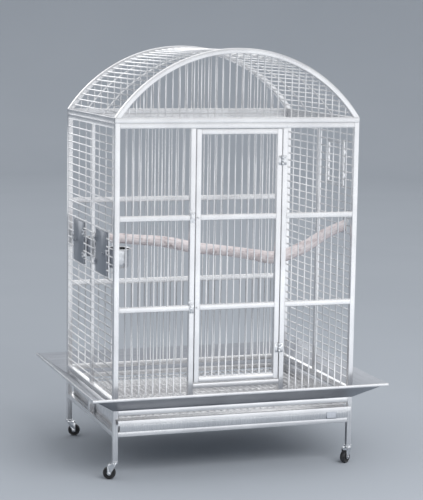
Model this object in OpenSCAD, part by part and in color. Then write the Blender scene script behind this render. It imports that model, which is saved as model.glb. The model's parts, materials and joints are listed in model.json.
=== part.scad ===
// Dome top parrot cage: welded steel panels on a wheeled stand, with a barrel-vaulted roof.
// Frame: X to the right, Y to the back, Z up, origin on the floor under the cage's centre.

/* [Cage body] */
// Width over the corner posts
cage_w = 1220; // [1160:2:1280]
// Depth over the corner posts
cage_d = 914; // [870:2:960]
// Height of the panels' top edge above the floor
panel_top = 1678; // [1650:1:1710]
// Side of the square tube in the frames
tube = 25; // [23:0.5:26]
// Wall of the square tube
tube_wall = 1.5; // [1:0.1:2]
// Diameter of the bars
bar_d = 7; // [6:0.25:7.5]
// Wanted distance between upright bars
bar_pitch = 35; // [30:0.5:42]
// Wanted distance between the side panels' rods
rod_pitch = 37.5; // [32:0.5:45]
// Underside of the panels' bottom rails
bottom_rail_z = 352; // [348:1:360]
// Centre of the lower middle rails
mid_low_z = 805; // [780:1:830]
// Centre of the upper middle rails
mid_high_z = 1234; // [1210:1:1260]

/* [Roof] */
// Height of the vault above the panels
dome_rise = 350; // [320:2:370]
// Distance between the two hoops that brace the vault
hoop_gap = 326; // [260:2:380]

/* [Stand] */
// Top of the stand above the floor
stand_top = 330; // [326:1:336]
// Top of the stand's lower rails
lower_rail_top = 228; // [224:1:232]
// Lower end of the legs
leg_foot = 87; // [84:1:90]
// How far the skirt reaches out
skirt_out = 132; // [110:2:150]
// Height of the skirt's rim above the stand
skirt_rise = 89; // [80:1:96]
// Height of the skirt's turned-down lip
skirt_lip = 16; // [12:1:20]
// Thickness of the sheet metal
sheet = 1.5; // [1.2:0.1:2]
// Height of the tray's walls
tray_h = 54; // [44:1:55]
// How far the tray's face stands in front of the legs
tray_proud = 14; // [8:1:30]

/* [Casters] */
// Diameter of the wheels
wheel_d = 62; // [58:1:64]
// Width of the tread
wheel_w = 24; // [20:1:25]
// Distance from the swivel axis to the axle
trail = 25; // [20:1:26]
// Swivel of the casters: front left, front right, rear left, rear right
caster_yaw = [160, 215, 340, 70];

/* [Front door] */
// Width of the opening between the jambs
door_open = 435; // [400:1:460]
// Gap round the door
door_gap = 3.5; // [3:0.1:5]
// Underside of the sill under the door
sill_z = 416; // [410:1:430]
// Height of a door hinge
hinge_h = 45; // [36:1:60]
// Distance of the hinges from the door's ends
hinge_inset = 150; // [120:5:250]

/* [Small doors] */
// Wanted height of the rod under the feeder openings
feeder_z = 940; // [905:1:975]
// Wanted height of a feeder opening
feeder_h = 225; // [190:1:260]
// How far the feeder openings are from the middle of their bays, towards the middle upright
feeder_shift = 7.25; // [0:0.25:30]
// Width of a feeder opening
feeder_open = 198; // [190:1:206]
// Diameter of the food cups
cup_d = 122; // [100:1:124]
// Height of the food cups
cup_h = 92; // [70:1:98]
// Wanted height of the rod under the access opening
access_z = 1353; // [1300:1:1380]
// Wanted height of the access opening
access_h = 225; // [190:1:240]
// How far the access opening is from the middle of its bay, towards the middle upright
access_shift = 32.25; // [0:0.25:50]
// Width of the access opening
access_open = 204; // [190:1:220]

/* [Perch] */
// Height of the perch's left end
perch_z = 1104; // [1090:1:1120]
// How far its right end is in front of the left one
perch_skew = 325; // [250:5:340]
// How far its lowest place is under the left end
perch_sag = 100; // [60:2:120]
// Thickness of the branch where it is thinnest
perch_d = 48; // [40:1:52]

/* [Hidden] */
$fn = 32;
steel = [0.80, 0.82, 0.84];
sheet_grey = [0.62, 0.64, 0.66];
zinc = [0.72, 0.73, 0.75];
black = [0.08, 0.08, 0.08];
bark = [0.78, 0.66, 0.58];

// Clearances: welded pieces that only touch along a line, sliding pieces and running fits
weld_gap = 0.05;
slide_gap = 0.4;
pin_gap = 0.05;
// How far cuts run past a face
past = 1;
// Heads of pins, pivots, posts and studs: height and how far they stand out
head_t = 2;
head_rim = 1.5;

// Faces of the posts
hw = cage_w / 2;
hd = cage_d / 2;
xi = hw - tube;
yi = hd - tube;

// Rail levels
bottom_top = bottom_rail_z + tube;
top_under = panel_top - tube;
upper_rail_z = stand_top - tube;
lower_rail_z = lower_rail_top - tube;
side_levels = [upper_rail_z, lower_rail_z];

// Upright bars stand between these levels, cut at the middle rails
spans = [
    [bottom_top, mid_low_z - tube / 2],
    [mid_low_z + tube / 2, mid_high_z - tube / 2],
    [mid_high_z + tube / 2, top_under]
];

// Front door
jamb_in = door_open / 2;
jamb_out = jamb_in + tube;
door_half = jamb_in - door_gap;
sill_top = sill_z + tube;
door_low = sill_top + door_gap;
door_high = top_under - door_gap;
door_spans = [
    [door_low + tube, mid_low_z - tube / 2],
    [mid_low_z + tube / 2, mid_high_z - tube / 2],
    [mid_high_z + tube / 2, door_high - tube]
];
hinge_levels = [door_low + hinge_inset, door_high - hinge_inset];

// Hinges: barrel, pin, leaves and how far the axis stands outside the face
barrel_r = 6;
pin_r = 3;
bore_r = pin_r + pin_gap;
leaf_t = 2.5;
leaf_w = 20;
small_barrel_r = 4;
small_pin_r = 2;
small_bore = small_pin_r + pin_gap;
small_hinge_h = 24;
barrel_lift = 0.3;
knuckle_gap = 0.4;
knuckle_lap = 1;

// Door latches: hook plate, its pivot and the stud that it drops over
hook_t = 4;
hook_w = 12;
hook_pivot_r = 3;
stud_r = 3;
hook_len = 30;
plate_t = 2;
hook_lift = 0.8;
hook_rest = 100;
hook_play = 4;
hook_wall = 4;
mouth_ease = 0.2;
boss_rim = 2;
plate_edge = 2;
stud_shift = 2;
stud_spare = 2;
stud_x = -door_half + tube / 2 - stud_shift;
stud_h = plate_t + hook_lift + hook_t + stud_spare;
pivot_x = stud_x - hook_len;

// Turn buttons of the small doors
button_lift = 1.2;
button_t = 3;
button_w = 9;
button_reach = 22;
button_tail = 7;
button_r = 2;
button_seat_r = 5;

// Cup rings: hoop, its distance inside the door and the places of its two thinner arms
ring_slack = 4;
ring_r = cup_d / 2 + ring_slack;
ring_wire = 6;
arm_wire = 5;
ring_gap = 4;
arm_x = ring_r * 0.65;

// Cups: taper and height of the foot, rim, height over the door's lower edge and shift towards its hinges
cup_taper = 8;
cup_foot_h = 12;
cup_rim_out = 6;
cup_rim_t = 1.3;
cup_lift = 26;
cup_shift = 6;

// Finger knobs of the feeder doors
knob_r = 8;
knob_t = 4;
knob_stem_r = 4;
knob_stem_h = 8;
knob_inset = 36;

// Side panels: rods lie flush with the posts' outer faces
rod_x = hw - bar_d / 2;
rod_spaces = round((top_under - bottom_top) / rod_pitch);
rod_step = (top_under - bottom_top) / rod_spaces;
function rod_z(k) = bottom_top + k * rod_step;

// Small openings: whole rod spaces, and their centres in the bays between upright and corner post
bay_y = (yi + tube / 2) / 2;
feeder_row = round((feeder_z - bottom_top) / rod_step);
feeder_rows = round(feeder_h / rod_step);
feeder_y = bay_y - feeder_shift;
access_row = round((access_z - bottom_top) / rod_step);
access_rows = round(access_h / rod_step);
access_y = bay_y - access_shift;
stile_face = hw - bar_d - weld_gap;
stile_w = 12;
stile_t = 6;
small_gap = 4;
pan_depth = 12;
bar_frame = 10;
feeder_low = rod_z(feeder_row) + bar_d / 2 + small_gap;
feeder_high = rod_z(feeder_row + feeder_rows) - bar_d / 2 - small_gap;

// Centre of a cup ring: along the door from its axis, into the cage and up
cup_x = feeder_open / 2 - small_gap / 2 - cup_shift;
cup_in = ring_r + pan_depth + ring_gap;
ring_z = feeder_low + cup_lift + cup_h;

// Roof: arch through the rail ends and the crown
dome_rail_top = panel_top + tube;
crown = dome_rise - tube;
arch_r = (hw * hw + crown * crown) / (2 * crown);
arch_z = panel_top + dome_rise - arch_r;
arch_half = asin(hw / arch_r);
vault_r = arch_r - tube / 2;
hoop_r = vault_r - bar_d - weld_gap;
vault_spaces = round(2 * arch_half / 180 * PI * arch_r / bar_pitch);
vault_step = 2 * arch_half / vault_spaces;
lunette_spaces = round(cage_w / bar_pitch);
lunette_step = cage_w / lunette_spaces;
lunette_min = 15;
vault_overrun = 2;
vault_sides = 96;

// Tray and grate
runner = 20;
runner_t = 2;
runner_web = 13;
tray_shelf = lower_rail_top - runner_t;
tray_side_gap = 5;
tray_half = xi - tray_side_gap;
tray_z = lower_rail_top + slide_gap;
tray_front = -hd - tray_proud;
tray_back_gap = 7;
tray_back = yi - tray_back_gap;
tray_lip_drop = 22;
tray_lip_out = 12;
tray_lip_side = 12;
face_gap = 17;
face_top = upper_rail_z - face_gap;
shelf_lift = 2;
grate_shelf = face_top + shelf_lift;
grate_web_drop = 2;
grate_side_gap = 3;
grate_half = xi - grate_side_gap;
grate_bar = 4;
grate_bar_w = 15;
grate_z = grate_shelf + runner_t + slide_gap;
wire_d = 5;
wire_z = grate_z + grate_bar + wire_d / 2 + weld_gap;
wire_edge = 5;
wire_reach = grate_half - wire_edge;
wire_pitch = 34;
wire_spaces = round(2 * wire_reach / wire_pitch);
grate_front_gap = 7;
grate_front = -hd + grate_front_gap;
grate_back_gap = 2;
grate_back = yi - grate_back_gap;
grate_bars = 5;

// Finger pull on the tray's face
pull_w = 54;
pull_inset = 64;
pull_out = 9;
pull_foot = 2;
pull_edge = 4;

// Skirt
skirt_thick = sheet / cos(atan(skirt_rise / skirt_out));
flange_edge = 5;
skirt_flange = tube - flange_edge;
mitre_gap = 0.1;

// Casters
wheel_r = wheel_d / 2;
king_r = 5;
crown_r = 17;
crown_h = 8;
mount_h = 6;
mount_rim = 1;
crown_top = leg_foot - mount_h - slide_gap;
crown_low = crown_top - crown_h;
king_head_h = 4;
king_head_rim = 2;
axle_r = 4;
axle_proud = 2;
wheel_side_gap = 2;
cheek_in = wheel_w / 2 + wheel_side_gap;
cheek_t = 3;
cheek_heel = 6;
cheek_heel_h = 3;
cheek_half = 9;
cheek_eye_r = 10;
hub_rim = 6;
hub_proud = 1;
dish = 4;
dish_draft = 1;
tyre_t = 9;
tyre_draft = 2;
tread_ease = 2;
caster_x = hw - tube / 2;
caster_y = hd - tube / 2;
caster_at = [[-1, -1], [1, -1], [-1, 1], [1, 1]];

// Perch: shares of its length, of its sag over the left end, and of its least thickness
perch_plate_t = 3;
perch_left = -xi + perch_plate_t;
perch_right = stile_face - perch_plate_t;
branch = [
    [0, 0, 1], [0.05, -0.06, 1.03], [0.17, -0.17, 1.12], [0.28, -0.28, 1.15], [0.4, -0.56, 1.15],
    [0.54, -0.72, 1.15], [0.63, -0.87, 1.2], [0.7, -1, 1.28], [0.75, -0.95, 1.32], [0.8, -0.72, 1.25],
    [0.86, -0.35, 1.2], [0.93, 0.22, 1.12], [1, 0.62, 1]
];
perch_sides = 16;
perch_steps = 4;
perch_end_z = perch_z + perch_sag * branch[len(branch) - 1][1];
knot_oval = 0.04;
knot_lump = 0.03;

// Fixings of the perch: plates wider than the branch, bolt, washer and nut
perch_plate_edge = 6;
perch_bolt_r = 4;
perch_bolt_out = 12;
washer_r = 19;
washer_t = 2;
nut_r = 7;
nut_t = 8;

// Square tubes along the three axes, given their ends and their low edges
module tube_x(x0, x1, y, z) {
    translate([x0, y, z])
        difference() {
            cube([x1 - x0, tube, tube]);
            translate([-past, tube_wall, tube_wall])
                cube([x1 - x0 + 2 * past, tube - 2 * tube_wall, tube - 2 * tube_wall]);
        }
}

module tube_y(x, y0, y1, z) {
    translate([x, y0, z])
        difference() {
            cube([tube, y1 - y0, tube]);
            translate([tube_wall, -past, tube_wall])
                cube([tube - 2 * tube_wall, y1 - y0 + 2 * past, tube - 2 * tube_wall]);
        }
}

module tube_z(x, y, z0, z1) {
    translate([x, y, z0])
        difference() {
            cube([tube, tube, z1 - z0]);
            translate([tube_wall, tube_wall, -past])
                cube([tube - 2 * tube_wall, tube - 2 * tube_wall, z1 - z0 + 2 * past]);
        }
}

module bar_z(x, y, z0, z1) {
    translate([x, y, z0])
        cylinder(d = bar_d, h = z1 - z0);
}

module bar_y(x, z, y0, y1) {
    translate([x, y0, z])
        rotate([-90, 0, 0])
            cylinder(d = bar_d, h = y1 - y0);
}

// Upright bars evenly spaced between two faces, one length for each span
module bar_field(x0, x1, y, levels) {
    spaces = round((x1 - x0) / bar_pitch);
    for (i = [1 : spaces - 1])
        for (s = levels)
            bar_z(x0 + i * (x1 - x0) / spaces, y, s[0], s[1]);
}

// Stand
module stand_legs() {
    color(steel)
        for (x = [-hw, xi], y = [-hd, yi])
            tube_z(x, y, leg_foot, stand_top);
}

module stand_rails() {
    color(steel)
        for (z = side_levels) {
            for (y = [-hd, yi])
                tube_x(-xi, xi, y, z);
            for (x = [-hw, xi])
                tube_y(x, -yi, yi, z);
        }
}

// Angle runners for the tray and the grate, and the strut between the side rails
module stand_runners() {
    color(steel)
        for (side = [0, 1])
            mirror([side, 0, 0]) {
                runner_angle(tray_shelf, tray_shelf - runner_web, lower_rail_top);
                runner_angle(grate_shelf, grate_shelf, stand_top - grate_web_drop);
                translate([xi + weld_gap, -tube / 2, lower_rail_top])
                    cube([tube - 2 * weld_gap, tube, upper_rail_z - lower_rail_top]);
            }
}

module runner_angle(shelf, web_low, web_high) {
    translate([xi - runner, -yi, shelf])
        cube([runner, 2 * yi, runner_t]);
    translate([xi - runner_t, -yi, web_low])
        cube([runner_t, 2 * yi, web_high - web_low]);
}

// Corner posts and panels
module corner_posts() {
    color(steel)
        for (x = [-hw, xi], y = [-hd, yi])
            tube_z(x, y, stand_top, panel_top);
}

module front_jambs() {
    color(steel)
        for (x = [-jamb_out, jamb_in])
            tube_z(x, -hd, bottom_top, top_under);
}

module front_rails() {
    color(steel) {
        tube_x(-xi, xi, -hd, bottom_rail_z);
        tube_x(-xi, xi, -hd, top_under);
        tube_x(-jamb_in, jamb_in, -hd, sill_z);
        for (z = [mid_low_z, mid_high_z]) {
            tube_x(-xi, -jamb_out, -hd, z - tube / 2);
            tube_x(jamb_out, xi, -hd, z - tube / 2);
        }
    }
}

module front_bars() {
    color(steel) {
        bar_field(-xi, -jamb_out, -hd + tube / 2, spans);
        bar_field(jamb_out, xi, -hd + tube / 2, spans);
    }
}

module back_rails() {
    color(steel)
        for (z = [bottom_rail_z, mid_low_z - tube / 2, mid_high_z - tube / 2, top_under])
            tube_x(-xi, xi, yi, z);
}

module back_bars() {
    color(steel)
        bar_field(-xi, xi, hd - tube / 2, spans);
}

module side_rails() {
    color(steel)
        for (x = [-hw, xi], z = [bottom_rail_z, top_under])
            tube_y(x, -yi, yi, z);
}

// Upright behind the rods in the middle of each side
module side_uprights() {
    color(steel)
        for (side = [0, 1])
            mirror([side, 0, 0])
                translate([xi, -tube / 2, bottom_top])
                    difference() {
                        cube([stile_face - xi, tube, top_under - bottom_top]);
                        translate([tube_wall, tube_wall, -past])
                            cube([stile_face - xi - 2 * tube_wall, tube - 2 * tube_wall, panel_top]);
                    }
}

function in_rows(k, low, rows) = k > low && k < low + rows;

module left_rods() {
    feeder_in = feeder_y - feeder_open / 2;
    feeder_out = feeder_y + feeder_open / 2;
    color(steel)
        for (k = [1 : rod_spaces - 1])
            if (in_rows(k, feeder_row, feeder_rows)) {
                bar_y(-rod_x, rod_z(k), -yi, -feeder_out);
                bar_y(-rod_x, rod_z(k), -feeder_in, feeder_in);
                bar_y(-rod_x, rod_z(k), feeder_out, yi);
            } else {
                bar_y(-rod_x, rod_z(k), -yi, yi);
            }
}

module right_rods() {
    color(steel)
        for (k = [1 : rod_spaces - 1])
            if (in_rows(k, access_row, access_rows)) {
                bar_y(rod_x, rod_z(k), -yi, -access_y - access_open / 2);
                bar_y(rod_x, rod_z(k), -access_y + access_open / 2, yi);
            } else {
                bar_y(rod_x, rod_z(k), -yi, yi);
            }
}

// Flat stiles behind the rods on both sides of each small opening
module small_stiles() {
    color(steel) {
        mirror([1, 0, 0])
            for (y = [-feeder_y, feeder_y])
                stile_pair(y, feeder_open, feeder_row, feeder_rows);
        stile_pair(-access_y, access_open, access_row, access_rows);
    }
}

module stile_pair(y, open, row, rows) {
    low = rod_z(row) - stile_w / 2;
    high = rod_z(row + rows) + stile_w / 2;
    for (edge = [y - open / 2 - stile_w, y + open / 2])
        translate([stile_face - stile_t, edge, low])
            cube([stile_t, stile_w, high - low]);
}

// Hinge leaf with a tab to each knuckle, drilled for the pin, in the door's own frame:
// x along the door from the axis, y into the cage, z up
module hinge_half(bands, h, r, bore, t, reach, back) {
    lift = r + barrel_lift;
    difference() {
        union() {
            translate([r + knuckle_gap, -t, -h / 2])
                cube([reach - r - knuckle_gap, t + back, h]);
            for (b = bands) {
                translate([0, -t, b[0]])
                    cube([r + knuckle_gap + knuckle_lap, t, b[1] - b[0]]);
                translate([0, -lift, b[0]])
                    cylinder(r = r, h = b[1] - b[0]);
            }
        }
        translate([0, -lift, -h])
            cylinder(r = bore, h = 2 * h);
    }
}

function outer_bands(h) = [[-h / 2, -h / 6], [h / 6, h / 2]];
function middle_band(h) = [[-h / 6 + knuckle_gap, h / 6 - knuckle_gap]];

// Pin with a button on each end
module hinge_pin(h, r, pin) {
    translate([0, -r - barrel_lift, -h / 2]) {
        cylinder(r = pin, h = h);
        for (z = [-head_t, h])
            translate([0, 0, z])
                cylinder(r = pin + head_rim, h = head_t);
    }
}

// Places of the doors' hinge axes
module at_front_door() {
    translate([jamb_in - door_gap / 2, -hd, 0])
        mirror([1, 0, 0])
            children();
}

module at_feeder_front() {
    translate([-hw, -feeder_y + feeder_open / 2 - small_gap / 2, 0])
        rotate([0, 0, -90])
            children();
}

module at_feeder_rear() {
    mirror([0, 1, 0])
        at_feeder_front()
            children();
}

module at_access() {
    translate([hw, -access_y - access_open / 2 + small_gap / 2, 0])
        rotate([0, 0, 90])
            children();
}

// Small hinges stand midway between rods
function small_levels(row, rows) = [rod_z(row + 1.5), rod_z(row + rows - 1.5)];

module small_leaf(z) {
    translate([0, 0, z])
        mirror([1, 0, 0])
            hinge_half(outer_bands(small_hinge_h), small_hinge_h, small_barrel_r, small_bore,
                plate_t, stile_w, hw - stile_face);
}

module small_strap(z) {
    translate([0, 0, z])
        hinge_half(middle_band(small_hinge_h), small_hinge_h, small_barrel_r, small_bore,
            plate_t, 2 * stile_w, 0);
}

module hinge_leaves() {
    color(zinc) {
        at_front_door()
            for (z = hinge_levels)
                translate([0, 0, z])
                    mirror([1, 0, 0])
                        hinge_half(outer_bands(hinge_h), hinge_h, barrel_r, bore_r, leaf_t, leaf_w, 0);
        for (z = small_levels(feeder_row, feeder_rows)) {
            at_feeder_front()
                small_leaf(z);
            at_feeder_rear()
                small_leaf(z);
        }
        for (z = small_levels(access_row, access_rows))
            at_access()
                small_leaf(z);
    }
}

module hinge_pins() {
    color(zinc) {
        at_front_door()
            for (z = hinge_levels)
                translate([0, 0, z])
                    hinge_pin(hinge_h, barrel_r, pin_r);
        for (z = small_levels(feeder_row, feeder_rows)) {
            at_feeder_front()
                translate([0, 0, z])
                    hinge_pin(small_hinge_h, small_barrel_r, small_pin_r);
            at_feeder_rear()
                translate([0, 0, z])
                    hinge_pin(small_hinge_h, small_barrel_r, small_pin_r);
        }
        for (z = small_levels(access_row, access_rows))
            at_access()
                translate([0, 0, z])
                    hinge_pin(small_hinge_h, small_barrel_r, small_pin_r);
    }
}

// Front door
module door_stiles() {
    color(steel)
        for (x = [-door_half, door_half - tube])
            tube_z(x, -hd, door_low, door_high);
}

module door_rails() {
    reach = door_half - tube;
    color(steel)
        for (z = [door_low, mid_low_z - tube / 2, mid_high_z - tube / 2, door_high - tube])
            tube_x(-reach, reach, -hd, z);
}

module door_bars() {
    color(steel)
        bar_field(-door_half + tube, door_half - tube, -hd + tube / 2, door_spans);
}

module door_hinge_straps() {
    color(zinc)
        at_front_door()
            for (z = hinge_levels)
                translate([0, 0, z])
                    hinge_half(middle_band(hinge_h), hinge_h, barrel_r, bore_r, leaf_t, leaf_w, 0);
}

// Latches: pivot plates on the jamb and the small doors' turn button posts
module forward(x, z, from) {
    translate([x, -hd - from, z])
        rotate([90, 0, 0])
            children();
}

module latch_plates() {
    color(zinc) {
        for (z = [mid_low_z, mid_high_z]) {
            translate([-jamb_out + plate_edge, -hd - plate_t, z - tube])
                cube([tube - 2 * plate_edge, plate_t, 2 * tube]);
            forward(pivot_x, z, plate_t) {
                cylinder(r = hook_pivot_r + boss_rim, h = hook_lift - knuckle_gap);
                cylinder(r = hook_pivot_r, h = hook_lift + hook_t + head_t);
                translate([0, 0, hook_lift + hook_t + knuckle_gap])
                    cylinder(r = hook_pivot_r + boss_rim, h = head_t);
            }
        }
        at_feeder_front()
            button_post(feeder_open, feeder_row, feeder_rows);
        at_feeder_rear()
            button_post(feeder_open, feeder_row, feeder_rows);
        at_access()
            button_post(access_open, access_row, access_rows);
    }
}

// Post for a turn button, midway up the free side of a small door
function button_z(row, rows) = rod_z(row + floor(rows / 2) + 0.5);
function button_x(open) = open - small_gap / 2 + stile_w / 2;

module button_post(open, row, rows) {
    translate([button_x(open), hw - stile_face, button_z(row, rows)])
        rotate([90, 0, 0]) {
            cylinder(r = button_seat_r, h = hw - stile_face + button_lift - knuckle_gap);
            cylinder(r = button_r, h = hw - stile_face + button_lift + button_t + head_t);
            translate([0, 0, hw - stile_face + button_lift + button_t + knuckle_gap])
                cylinder(r = button_r + head_rim, h = head_t);
        }
}

// Turn button hanging down, clear of the door
module turn_button(open, row, rows) {
    tip = button_reach - button_w / 2;
    color(zinc)
        translate([button_x(open), -button_lift, button_z(row, rows)])
            rotate([90, 0, 0])
                difference() {
                    union() {
                        translate([-button_w / 2, -tip, 0])
                            cube([button_w, tip + button_tail, button_t]);
                        translate([0, -tip, 0])
                            cylinder(d = button_w, h = button_t);
                    }
                    translate([0, 0, -past])
                        cylinder(r = button_r + pin_gap, h = button_t + 2 * past);
                }
}

// Stud on the door that the hook drops over
module latch_studs() {
    color(zinc)
        for (z = [mid_low_z, mid_high_z])
            forward(stud_x, z, 0) {
                cylinder(r = stud_r, h = stud_h);
                translate([0, 0, stud_h])
                    cylinder(r = stud_r + head_rim, h = head_t);
            }
}

// Hook swung up off the stud, with its eye open on the side that comes down
module latch_hook(z) {
    slot = 2 * stud_r + hook_play;
    eye_d = slot + 2 * hook_wall;
    color(zinc)
        forward(pivot_x, z, plate_t + hook_lift)
            rotate([0, 0, hook_rest])
                difference() {
                    union() {
                        cylinder(d = hook_w, h = hook_t);
                        translate([0, -hook_w / 4, 0])
                            cube([hook_len, hook_w / 2, hook_t]);
                        translate([hook_len, 0, 0])
                            cylinder(d = eye_d, h = hook_t);
                    }
                    translate([0, 0, -past])
                        cylinder(r = hook_pivot_r + pin_gap, h = hook_t + 2 * past);
                    translate([hook_len, 0, -past])
                        cylinder(d = slot, h = hook_t + 2 * past);
                    translate([hook_len - slot / 2 + mouth_ease, -eye_d, -past])
                        cube([slot - 2 * mouth_ease, eye_d, hook_t + 2 * past]);
                }
}

module latch_hook_upper() {
    latch_hook(mid_high_z);
}

module latch_hook_lower() {
    latch_hook(mid_low_z);
}

module feeder_latch_front() {
    at_feeder_front()
        turn_button(feeder_open, feeder_row, feeder_rows);
}

module feeder_latch_rear() {
    at_feeder_rear()
        turn_button(feeder_open, feeder_row, feeder_rows);
}

module access_latch() {
    at_access()
        turn_button(access_open, access_row, access_rows);
}

// Feeder door: folded sheet pan with its hinge straps and a finger knob
module feeder_door() {
    w = feeder_open - 2 * small_gap;
    h = feeder_high - feeder_low;
    color(sheet_grey) {
        translate([small_gap / 2, 0, feeder_low])
            difference() {
                cube([w, pan_depth, h]);
                translate([sheet, sheet, sheet])
                    cube([w - 2 * sheet, pan_depth, h - 2 * sheet]);
            }
        for (z = small_levels(feeder_row, feeder_rows))
            small_strap(z);
        translate([w - knob_inset, 0, feeder_low + h / 2])
            rotate([90, 0, 0]) {
                cylinder(r = knob_stem_r, h = knob_stem_h);
                translate([0, 0, knob_stem_h])
                    cylinder(r = knob_r, h = knob_t);
            }
    }
}

module feeder_door_front() {
    at_feeder_front()
        feeder_door();
}

module feeder_door_rear() {
    at_feeder_rear()
        feeder_door();
}

// Cup ring: a hoop on two arms that stand on the feeder door's inner face
module feeder_ring() {
    color(steel)
        translate([cup_x, cup_in, ring_z]) {
            rotate_extrude()
                translate([ring_r, 0])
                    circle(d = ring_wire);
            for (x = [-arm_x, arm_x])
                translate([x, -cup_in + sheet, 0])
                    rotate([-90, 0, 0])
                        cylinder(d = arm_wire, h = cup_in - sheet - sqrt(ring_r * ring_r - arm_x * arm_x));
        }
}

module feeder_ring_front() {
    at_feeder_front()
        feeder_ring();
}

module feeder_ring_rear() {
    at_feeder_rear()
        feeder_ring();
}

// Spun cup that hangs in the ring by its rim
module feeder_cup() {
    r = cup_d / 2;
    base_r = r - cup_taper;
    rim = r + cup_rim_out;
    top = ring_wire / 2 + weld_gap;
    low = top - cup_h;
    foot = low + cup_foot_h;
    color(steel)
        translate([cup_x, cup_in, ring_z])
            rotate_extrude()
                polygon([
                    [0, low], [base_r, low], [r, foot], [r, top], [rim, top], [rim, top + cup_rim_t],
                    [r - sheet, top + cup_rim_t], [r - sheet, foot + sheet / 2],
                    [base_r - sheet / 2, low + sheet], [0, low + sheet]
                ]);
}

module feeder_cup_front() {
    at_feeder_front()
        feeder_cup();
}

module feeder_cup_rear() {
    at_feeder_rear()
        feeder_cup();
}

// Access door: square bar frame filled with rods in line with the panel's
module access_door() {
    w = access_open - 2 * small_gap;
    low = rod_z(access_row) + bar_d / 2 + small_gap;
    high = rod_z(access_row + access_rows) - bar_d / 2 - small_gap;
    color(steel)
        at_access() {
            for (x = [small_gap / 2, small_gap / 2 + w - bar_frame])
                translate([x, 0, low])
                    cube([bar_frame, bar_frame, high - low]);
            for (z = [low, high - bar_frame])
                translate([small_gap / 2, 0, z])
                    cube([w, bar_frame, bar_frame]);
            for (k = [1 : access_rows - 1])
                translate([small_gap / 2 + bar_frame / 2, bar_frame / 2, rod_z(access_row + k)])
                    rotate([0, 90, 0])
                        cylinder(d = bar_d, h = w - bar_frame);
            for (z = small_levels(access_row, access_rows))
                small_strap(z);
        }
}

// Roof
module dome_rails() {
    color(steel)
        for (y = [-hd, yi])
            tube_x(-hw, hw, y, panel_top);
}

module dome_side_rails() {
    color(steel)
        for (x = [-hw, xi])
            tube_y(x, -yi, yi, panel_top);
}

// Everything above the roof's rails
module above_rails() {
    translate([-cage_w, -cage_d, dome_rail_top])
        cube([2 * cage_w, 2 * cage_d, 2 * dome_rise]);
}

// Sweep of a profile along the vault, from past one rail to past the other
module along_vault() {
    arch_span = arch_half + vault_overrun;
    translate([0, 0, arch_z])
        rotate([90, 0, 0])
            rotate_extrude(angle = 2 * arch_span, start = 90 - arch_span, $fn = vault_sides)
                children();
}

module dome_arches() {
    color(steel)
        for (y = [-yi, hd])
            intersection() {
                translate([0, y, 0])
                    along_vault()
                        difference() {
                            translate([arch_r - tube, 0])
                                square(tube);
                            translate([arch_r - tube + tube_wall, tube_wall])
                                square(tube - 2 * tube_wall);
                        }
                above_rails();
            }
}

// Upright bars of the two end lunettes, cut to the arch
module dome_bars() {
    inner = arch_r - tube;
    reach = sqrt(inner * inner - pow(dome_rail_top + lunette_min - arch_z, 2));
    color(steel)
        for (y = [-hd + tube / 2, hd - tube / 2])
            intersection() {
                for (i = [1 : lunette_spaces - 1])
                    if (abs(-hw + i * lunette_step) + bar_d / 2 < reach)
                        bar_z(-hw + i * lunette_step, y, dome_rail_top, panel_top + dome_rise);
                translate([0, y - tube, arch_z])
                    rotate([-90, 0, 0])
                        cylinder(r = inner, h = 2 * tube, $fn = vault_sides);
            }
}

module vault_rods() {
    color(steel)
        for (i = [1 : vault_spaces - 1]) {
            a = 90 - arch_half + i * vault_step;
            bar_y(vault_r * cos(a), arch_z + vault_r * sin(a), -yi, yi);
        }
}

// Hoops under the rods
module vault_hoops() {
    color(steel)
        for (y = [-hoop_gap / 2, hoop_gap / 2])
            intersection() {
                translate([0, y, 0])
                    along_vault()
                        translate([hoop_r, 0])
                            circle(d = bar_d);
                above_rails();
            }
}

// Skirt: sloping sheet with a flange on the stand and a turned-down lip, mitred at the corners
module skirt_side(half_len, half_dep) {
    slope = skirt_rise / skirt_out;
    low = (skirt_out - sheet) * slope - skirt_thick;
    lip_in = -skirt_out + sheet;
    lip_z = skirt_rise - skirt_lip;
    color(sheet_grey)
        translate([0, -half_dep, stand_top]) {
            intersection() {
                translate([-half_len - skirt_out, 0, 0])
                    rotate([90, 0, 90])
                        linear_extrude(2 * half_len + 2 * skirt_out)
                            polygon([
                                [0, 0], [lip_in, low], [lip_in, lip_z], [-skirt_out, lip_z],
                                [-skirt_out, skirt_rise], [0, skirt_thick]
                            ]);
                linear_extrude(2 * skirt_rise)
                    polygon([
                        [-half_len + mitre_gap, 0], [half_len - mitre_gap, 0],
                        [half_len + skirt_out - mitre_gap, -skirt_out],
                        [-half_len - skirt_out + mitre_gap, -skirt_out]
                    ]);
            }
            translate([-half_len + tube + slide_gap, 0, 0])
                cube([2 * (half_len - tube - slide_gap), skirt_flange, sheet]);
        }
}

module skirt_front() {
    skirt_side(hw, hd);
}

module skirt_back() {
    rotate([0, 0, 180])
        skirt_side(hw, hd);
}

module skirt_left() {
    rotate([0, 0, -90])
        skirt_side(hd, hw);
}

module skirt_right() {
    rotate([0, 0, 90])
        skirt_side(hd, hw);
}

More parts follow.
